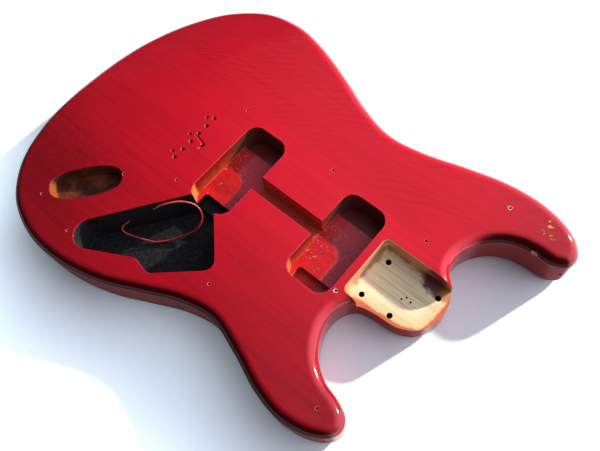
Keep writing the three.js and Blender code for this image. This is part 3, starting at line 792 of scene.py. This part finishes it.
def pickupCutters(x, black):
    p = cavity["pickup"]
    width, length = p["size"]
    loop = roundedRectangle(width, length, p["corner"]) + np.array([x, 0])
    floor = faceZ - p["shelf"]
    made = cutter("pickupCutter", loop, p["shelf"], "pickupWall", "lacquer_centre")

    def selectFloor(test):
        selectFaces(made, lambda polygon: polygon.normal.z < -0.99 and test(polygon.center))

    selectFloor(lambda centre: abs(centre.z - floor) < 10 * hair)
    bisect((0, p["shelfBass"], 0), (0, 1, 0))
    selectFloor(lambda centre: centre.y > p["shelfBass"])
    extrudeUp(p["shelf"] - p["ends"])
    selectFloor(lambda centre: abs(centre.z - floor) < 10 * hair)
    bisect((0, p["shelfTreble"], 0), (0, 1, 0))
    objectMode()
    finishFaces(made, "pickupFloor", lambda polygon: polygon.normal.z < -0.9)
    # the deep end on the treble side keeps away from the wall towards the tail
    left, right, end = x - width / 2, x + width / 2, -length / 2
    inset, turn, corner = left + p["inset"], p["insetTurn"], p["corner"]
    reach = math.degrees(math.acos((p["inset"] - corner) / corner))
    ear = np.concatenate([
        arc((inset + turn, p["shelfTreble"] - turn), turn, 180, 90, 5),
        [(right, p["shelfTreble"])],
        arc((right - corner, end + corner), corner, 0, -90, 10),
        arc((left + corner, end + corner), corner, -90, -reach, 8)])[::-1]
    deep = block("earCutter", ear, faceZ - p["ends"], p["ends"] - p["shelf"] + p["overlap"])
    outwardNormals(deep)
    deep.data.materials.append(finishes["shielding" if black else "pickupWall"])
    if black:
        finishFaces(made, "shielding", lambda polygon: polygon.center.y < p["shelfTreble"] and polygon.normal.z > -0.9
                    and polygon.center.x > left + p["bareCorner"] and polygon.center.z < faceZ - cavity["lip"])
    else:
        finishFaces(deep, "pickupFloor", lambda polygon: polygon.normal.z < -0.9)
    return [made, deep]


def rod(name, start, stop, radius, finish="paintedShadeHoleWood", sides=24):
    start, stop = Vector(start), Vector(stop)
    along = stop - start
    pick()
    bpy.ops.mesh.primitive_cylinder_add(vertices=sides, radius=radius, depth=along.length,
                                        location=(start + stop) / 2,
                                        rotation=along.to_track_quat("Z", "Y").to_euler())
    made = bpy.context.object
    made.name = name
    bakeTransform()
    made.data.materials.append(finishes[finish])
    return made


def holeKind(radius, chip, rim, torn, crescent=False):
    return {"radius": radius, "chip": chip, "rim": rim, "torn": torn, "crescent": crescent}


holes = {
    "stringPitch": 10.5 * mm,
    "string": holeKind(1.6 * mm, 0.35 * mm, "paintedShadeHoleWood", 0.05, True),
    "bridge": holeKind(1.4 * mm, 0.2 * mm, "paintedShadeHoleWood", 0.06, True),
    "screw": holeKind(1.1 * mm, 0.32 * mm, "rimWood", 0.22),
    "worn": holeKind(1.1 * mm, 0.8 * mm, "chippedWood", 0.25),
    "wornGuards": (5, 8),
    "sides": 24,
    "paintedLightSide": math.radians(215),
    "guard": [(-0.162, 0.158), (-0.163, -0.128), (-0.250, -0.420), (0.034, -0.286), (0.280, 0.142),
              (0.215, -0.100), (0.060, 0.156), (0.317, -0.343), (0.358, 0.347)],
    "jackPlate": [(-0.255, -0.208), (-0.352, -0.393)],
    "guardDepth": 14 * mm,
    "bridgeAt": [-22.8 * mm, 0, 22.8 * mm], "bridgeX": -100.2 * mm, "bridgeDepth": 20 * mm,
    "bolts": [(114.5 * mm, 18 * mm), (114.5 * mm, -18 * mm), (164.5 * mm, 18 * mm), (143 * mm, -18 * mm)],
    "boltRadius": 2.5 * mm,
    "pins": [(0.667, -0.017), (0.712, 0.047), (0.797, 0.024)],
    "pinRadius": 0.9 * mm, "pinDepth": 6 * mm, "pinAbove": 4 * mm, "pinSides": 12,
    "strapRadius": 1.6 * mm, "strapDepth": 25 * mm,
    "straps": [((0.493, 0.302), -32), ((-0.5, 0.0), 180)],
    "past": 2 * mm,
    # radius and height of the ferrule's sleeve and of its flange
    "ferrule": [(4 * mm, 10 * mm), (4.5 * mm, 1 * mm)], "ferruleGap": 0.3 * mm, "ferruleSides": 32,
}
ferrule = {
    # radius and height of each turn of the profile, from the seat of the string's ball end outwards and up
    "profile": [(2.5, 0.3), (2.8, 0.0), (4.3, 0.0), (4.5, 0.2), (4.5, 0.85), (4.35, 1.0), (4.0, 1.0),
                (4.0, 9.7), (3.7, 10.0), (1.8, 10.0), (1.6, 9.8), (1.6, 7.2), (1.8, 7.0), (2.5, 6.8)],
    "sides": 48,
    "roughness": (0.16, 0.34),
}
wire = {
    "radius": 0.8 * mm, "core": 0.4 * mm, "coreLength": 4 * mm, "gap": 0.3 * mm, "hole": 1.75 * mm,
    "mouth": (-82.2, -1.6, 44.2),
    "elbow": (-82.2, -13.4, 28.7),
    "exit": (-93.4, -99.7, 22.7),
    # middle of the round cut that makes the groove in the face, from its far end to the drilling
    "groove": [(-97.9, 2.8, 46.65), (-96.0, 2.2, 46.45), (-92.3, 1.7, 46.25), (-89.4, 1.2, 46.15),
               (-86.6, 0.6, 46.1), (-84.1, -0.1, 45.9), (-82.2, -1.6, 45.5)],
    "grooveRadius": 2.2 * mm,
    "loop": [(-93.4, -99.7, 22.7), (-93.7, -102.0, 22.5), (-91.6, -104.2, 21.2), (-86.8, -103.4, 18.4),
             (-80.9, -100.4, 15.4), (-73.7, -96.7, 12.3), (-66.0, -92.3, 10.3), (-59.4, -85.9, 10.1),
             (-53.2, -78.4, 11.3), (-47.0, -70.5, 14.0), (-40.9, -62.3, 18.0), (-39.4, -56.1, 21.5),
             (-40.8, -50.5, 25.0), (-45.0, -47.2, 29.5), (-50.4, -47.3, 34.0), (-55.4, -50.6, 38.5),
             (-60.0, -56.0, 42.7), (-64.3, -63.2, 45.3), (-68.0, -69.3, 45.5), (-69.3, -71.9, 45.0)],
}
stringPlaces = [(cavity["stringLine"], (i - 2.5) * holes["stringPitch"]) for i in range(6)]


def faceHole(place, depth, kind):
    look = holes[kind]
    radius, chip = look["radius"], look["chip"]
    loop = arc(place, radius, 0, 360, holes["sides"])[:-1]
    hole = cutter("holeCutter", loop, depth, "paintedShadeHoleWood", look["rim"], lip=chip)
    # the rim has broken out unevenly
    for vertex in hole.data.vertices:
        if vertex.co.z > faceZ - chip * 0.9:
            away = Vector((vertex.co.x - place[0], vertex.co.y - place[1]))
            angle = math.atan2(away.y, away.x)
            torn = math.sin(3 * angle + place[0] * 900) + math.sin(5 * angle + place[1] * 700)
            torn = 1 + look["torn"] * torn / 2
            vertex.co.x, vertex.co.y = place[0] + away.x * torn, place[1] + away.y * torn
    # and gets a pale crescent of painted light on the side that catches the light
    if look["crescent"]:
        finishFaces(hole, "rimWood", lambda polygon: abs(polygon.normal.z) < 0.99 and polygon.center.z > faceZ - chip
                    and math.cos(math.atan2(polygon.center.y - place[1], polygon.center.x - place[0])
                                 - holes["paintedLightSide"]) > 0.45)
    return hole


def wireCutters():
    mouth, elbow, out = (Vector(wire[key]) * mm for key in ("mouth", "elbow", "exit"))
    down, along = (elbow - mouth).normalized(), (out - elbow).normalized()
    radius, spare = wire["hole"], wire["hole"] + holes["past"]
    return [rod("wireDown", mouth - down * spare, elbow + down * radius, radius),
            rod("wireAlong", elbow - along * radius, out + along * spare, radius)]


def channelCutter():
    c = cavity["channel"]
    half = c["width"] / 2
    loop = [(c["from"], -half), (c["to"], -half), (c["to"], half), (c["from"], half)]
    return cutter("channelCutter", loop, c["depth"], "channelWood", "lacquer_centre")


def pocketCutter():
    p = cavity["pocket"]
    loop = roundedRectangle(p["to"] - p["wall"], p["width"], p["corner"]) + np.array([(p["to"] + p["wall"]) / 2, 0])
    return cutter("pocketCutter", loop, p["depth"], "pocketWood", lip=p["lip"], floorRadius=p["floorRadius"])


chips = [  # place, half lengths, turn; on the upper horn, and the last one by the wire's hole
    ((200.8, 119.4, 44.9), (3.0, 1.6, 0.9), 35), ((197.6, 123.0, 44.8), (1.8, 1.1, 0.8), 60),
    ((197.4, 112.6, 44.8), (2.2, 0.7, 0.7), 20), ((199.6, 110.6, 44.8), (1.4, 0.6, 0.7), 75),
    ((205.4, 112.6, 44.8), (2.4, 0.8, 0.7), 30), ((207.6, 110.4, 44.8), (2.6, 0.7, 0.7), 15),
    ((165.9, 113.1, 44.8), (1.6, 1.0, 0.7), 50), ((202.2, 92.6, 38.2), (3.6, 2.4, 3.2), 35),
    ((-82.9, -5.9, 44.7), (1.2, 0.8, 0.6), 20),
]


def chipCutters():
    made = []
    for number, (place, halves, turn) in enumerate(chips):
        pick()
        bpy.ops.mesh.primitive_ico_sphere_add(subdivisions=3, radius=1)
        dent = bpy.context.object
        dent.name = "chipCutter"
        for vertex in dent.data.vertices:
            x, y, z = vertex.co
            vertex.co *= 1 + 0.18 * math.sin(5 * x + 3 * y + number * 1.7) + 0.14 * math.sin(9 * y - 7 * z + number)
        dent.scale = Vector(halves) * mm
        dent.rotation_euler = (0, 0, math.radians(turn))
        dent.location = Vector(place) * mm
        bakeTransform()
        dent.data.materials.append(finishes["bruisedWood"])
        made.append(dent)
    return made


def tube(name, path, radius, roundness, finish):
    line = bpy.data.curves.new(name, "CURVE")
    line.dimensions = "3D"
    line.bevel_depth = radius
    line.bevel_resolution = roundness
    line.use_fill_caps = True
    spline = line.splines.new("POLY")
    spline.points.add(len(path) - 1)
    for point, place in zip(spline.points, path):
        point.co = (*place, 1)
    item = bpy.data.objects.new(name, line)
    bpy.context.scene.collection.objects.link(item)
    line.materials.append(finish)
    return item


def roundCut(name, guide, radius, finish):  # a tube made solid, to cut a groove with
    item = tube(name, smoothCurve(np.array(guide) * mm, 6, False), radius, 6, finishes[finish])
    pick(item)
    bpy.ops.object.convert(target="MESH")
    item = bpy.context.object
    editMode(item, whole=True)
    bpy.ops.mesh.remove_doubles(threshold=hair)
    outwardNormals(item)
    return item


def grooveCutters():  # the wire's groove in the face and the curved mark of a drill in the jack cavity's floor
    j = cavity["jack"]
    floor = (faceZ - j["depth"]) / mm
    return [roundCut("wireGroove", wire["groove"], wire["grooveRadius"], "lacquer_centre"),
            roundCut("jackMark", [(*place, floor) for place in j["mark"]], j["markRadius"], "paintedShadeHoleWood")]


def jackCutter():
    j = cavity["jack"]
    angles = np.arange(j["steps"]) / j["steps"] * 2 * math.pi
    along, across = (np.sign(v) * np.abs(v) ** (2 / j["squareness"]) for v in (np.cos(angles), np.sin(angles)))
    loop = np.stack([along * j["length"] / 2, across * j["width"] / 2], axis=1)
    return cutter("jackCutter", turnLoop(loop, j["turn"], j["place"]), j["depth"], "jackWood", "lacquer_treble")


def ferruleCutters():
    gap = holes["ferruleGap"]
    return [rod("ferruleCutter", (x, y, -holes["past"]), (x, y, top + gap), radius + gap, sides=holes["ferruleSides"])
            for x, y in stringPlaces for radius, top in holes["ferrule"]]


def strapCutters():
    made = []
    for share, turn in holes["straps"]:
        reach = Vector((math.cos(math.radians(turn)), math.sin(math.radians(turn)), 0)) * holes["strapDepth"]
        middle = Vector((*placeOf(*share), faceZ / 2))
        made.append(rod("strapCutter", middle - reach, middle + reach, holes["strapRadius"]))
    return made


def allCutters():
    control, pocket, wiring = cavity["control"], cavity["pocket"], cavity["wiring"]
    made = [item for x, black in cavity["pickup"]["places"] for item in pickupCutters(x, black)]
    made += [channelCutter(), pocketCutter(), jackCutter()]
    made.append(cutter("controlCutter", controlLoop(), control["depth"], "shielding", "lacquer_treble",
                       floorRadius=control["floorRadius"]))
    made.append(rod("jackWiring", wiring["from"], wiring["to"], wiring["radius"]))
    made += wireCutters()
    for number, share in enumerate(holes["guard"] + holes["jackPlate"]):
        kind = "worn" if number in holes["wornGuards"] else "screw"
        made.append(faceHole(placeOf(*share), holes["guardDepth"], kind))
    made += [faceHole((holes["bridgeX"], y), holes["bridgeDepth"], "bridge") for y in holes["bridgeAt"]]
    made += [faceHole(place, faceZ + holes["past"], "string") for place in stringPlaces]
    made += [rod("boltCutter", (*place, -holes["past"]), (*place, faceZ), holes["boltRadius"])
             for place in holes["bolts"]]
    floor = faceZ - pocket["depth"]
    for along, across in holes["pins"]:
        place = (pocket["wall"] + along * pocket["width"], across * pocket["width"])
        made.append(rod("pinCutter", (*place, floor - holes["pinDepth"]), (*place, floor + holes["pinAbove"]),
                        holes["pinRadius"], sides=holes["pinSides"]))
    return made + ferruleCutters() + strapCutters() + chipCutters() + grooveCutters()


cutters = allCutters()
print("cutters made", len(cutters))


def reachAcross(item):
    ys = [vertex.co.y for vertex in item.data.vertices]
    return min(ys), max(ys)


cuttingSet = bpy.data.collections.new("cutting")
bpy.context.scene.collection.children.link(cuttingSet)
for side, board in boards.items():
    low, high = reachAcross(board)
    for item in cutters:
        least, most = reachAcross(item)
        if most > low and least < high:
            cuttingSet.objects.link(item)
    modify(board, "BOOLEAN", operation="DIFFERENCE", solver="EXACT", operand_type="COLLECTION",
           collection=cuttingSet, material_mode="TRANSFER")
    for item in list(cuttingSet.objects):
        cuttingSet.objects.unlink(item)
    smoothByAngle(board, 30)
    modify(board, "WEIGHTED_NORMAL", keep_sharp=True)
    print("carved", side, len(board.data.polygons))
for item in cutters:
    bpy.data.objects.remove(item)
bpy.data.collections.remove(cuttingSet)

for side, board in boards.items():
    joinFrame(board, "body_board_" + side)
print("body done")


def platingMaterial():
    look = Look("ferrulePlating")
    haze = look.noise(look.place, 420, 3.0, 0.6)
    return look.finish(look.mix(haze, (0.80, 0.79, 0.76), (0.62, 0.61, 0.58)),
                       look.reach(haze, 0.3, 0.7, *ferrule["roughness"]), metallic=1.0)


def ferrulePiece():  # a ring drawn along its profile and closed on itself
    pick()
    profile = ferrule["profile"]
    bpy.ops.mesh.primitive_circle_add(vertices=ferrule["sides"], radius=profile[0][0] * mm,
                                      location=(0, 0, profile[0][1] * mm))
    bush = bpy.context.object
    bush.name = "stringFerrule1"
    bakeTransform()
    editMode(bush, "EDGE", whole=True)
    for (radius, height), (wider, higher) in zip(profile, profile[1:] + profile[:1]):
        extrudeUp((higher - height) * mm)
        bpy.ops.transform.resize(value=(wider / radius, wider / radius, 1), center_override=(0, 0, 0))
    bpy.ops.mesh.select_all(action="SELECT")
    bpy.ops.mesh.remove_doubles(threshold=hair)
    outwardNormals(bush)
    bush.data.materials.append(platingMaterial())
    smoothByAngle(bush, 35)
    return bush


bush = ferrulePiece()
for i, (x, y) in enumerate(stringPlaces):
    item = bush if i == 0 else copyOf(bush, "stringFerrule" + str(i + 1))
    editMode(item, whole=True)
    # the copies are taken from the first one once it stands in its place
    move = (x, y, 0) if i == 0 else (0, i * holes["stringPitch"], 0)
    bpy.ops.transform.translate(value=move)
    objectMode()
    joinFrame(item, "string_ferrule_" + str(i + 1))
print("ferrules made")


def wireMaterial():
    look = Look("wireJacketFinish")
    wear = look.noise(look.place, 300, 3.0, 0.6)
    colour = look.mix(look.reach(wear, 0.4, 0.7), (0.50, 0.030, 0.025), (0.30, 0.018, 0.015))
    return look.finish(colour, 0.35, normal=look.bump(wear, 0.15, 0.3 * mm))


def copperMaterial():
    look = Look("copperFinish")
    tarnish = look.reach(look.noise(look.place, 900, 3.0, 0.6), 0.4, 0.7)
    return look.finish(look.mix(tarnish, (0.83, 0.45, 0.27), (0.45, 0.20, 0.10)), 0.3, metallic=1.0)


jacketFinish = wireMaterial()
loopLine = smoothCurve(np.array(wire["loop"]) * mm, 8, False)
loopCord = tube("groundWireLoop", loopLine, wire["radius"], 5, jacketFinish)
# the bare end goes straight on from the jacket's last two points
before, end = (Vector(place) * mm for place in wire["loop"][-2:])
ahead = (end - before).normalized()
coreLine = [end - ahead * wire["gap"], end + ahead * (wire["coreLength"] + wire["gap"])]
coreCavity = tube("groundWireCoreCavity", coreLine, wire["core"], 5, copperMaterial())
joinFrame(loopCord, "ground_wire_loop")
joinFrame(coreCavity, "ground_wire_core_cavity")
for place in frame["nodes"]["ground_wire_drilled"].material_slots:
    place.material = jacketFinish

stage = {
    "floor": (0.95, 0.955, 0.965),
    "size": 6.0,
    "lift": (0.84, 1.05, 1.20),
    "liftHalves": (232 * mm, 163.5 * mm),
    "liftReach": (1.0, 2.1),
    # middle, radius and share of painted pools of light in the body's shadow
    "paintedLightPools": [((30 * mm, -215 * mm), 160 * mm, 0.27), ((-250 * mm, -140 * mm), 100 * mm, 0.24)],
    "poolCore": 20 * mm,
    "lampAt": (1.546, 4.082, 1.791),
    "lampAim": (0.02, 0.0, 0.03),
    "lampSize": 0.16,
    "lampPower": 440.0,
    "lampColour": (1.0, 0.97, 0.93),
    "skyDark": 0.10,
    "skyWide": 0.46,
    "skyGlow": 1.6,
    "skyTint": (0.88, 0.95, 1.12),
    "brightSide": (0.64, 0.69, 0.34),
}


def addFloor():
    pick()
    bpy.ops.mesh.primitive_plane_add(size=stage["size"], location=(0, 0, 0))
    floor = bpy.context.object
    floor.name = "studioFloor"
    look = Look("paleFloor")
    # painted light: away from the body the floor glows paler to the eye than its light makes it, and paler still in
    # pools in the body's shadow
    x, y, z = look.split(look.place)
    away = look.hypot(*(value / half for value, half in zip((x, y), stage["liftHalves"])))
    level = look.reach(away, *stage["liftReach"])
    for middle, radius, most in stage["paintedLightPools"]:
        apart = look.hypot(x - middle[0], y - middle[1])
        level = level + look.reach(apart, radius, stage["poolCore"], 0.0, most)
    seen = look.outs(look.node("ShaderNodeLightPath"))
    share = look.math("MAXIMUM", seen["Is Glossy Ray"], seen["Is Transmission Ray"])
    share = look.math("MAXIMUM", seen["Is Camera Ray"], share)
    floor.data.materials.append(look.finish(stage["floor"], 0.8, specular=0.0, others={
        "Emission Color": stage["lift"], "Emission Strength": share * level}))


def addLamp():
    bpy.ops.object.light_add(type="AREA", location=stage["lampAt"])
    lamp = bpy.context.object
    lamp.name = "softKey"
    away = Vector(stage["lampAt"]) - Vector(stage["lampAim"])
    lamp.rotation_euler = away.to_track_quat("Z", "Y").to_euler()
    lamp.data.shape = "DISK"
    lamp.data.size = stage["lampSize"]
    lamp.data.energy = stage["lampPower"]
    lamp.data.color = stage["lampColour"]
    lamp.visible_camera = False


def addSky():  # bright round the lamp, dim on the side away from it
    world = bpy.data.worlds.new("studioSky")
    world.use_nodes = True
    bpy.context.scene.world = world
    sky = Shader(world.node_tree)
    ahead = sky.outs(sky.node("ShaderNodeTexCoord"))["Generated"]
    towards = sky.dot(ahead, Vector(stage["brightSide"]).normalized())
    level = (sky.reach(towards, 0.05, 0.40, stage["skyDark"], stage["skyWide"])
             + sky.reach(towards, 0.45, 1.0, 0.0, stage["skyGlow"]))
    sky.fill(world.node_tree.nodes["Background"], {"Color": stage["skyTint"], "Strength": level})


addFloor()
addLamp()
addSky()
bpy.context.scene.view_settings.view_transform = "Standard"

print("scene ready")
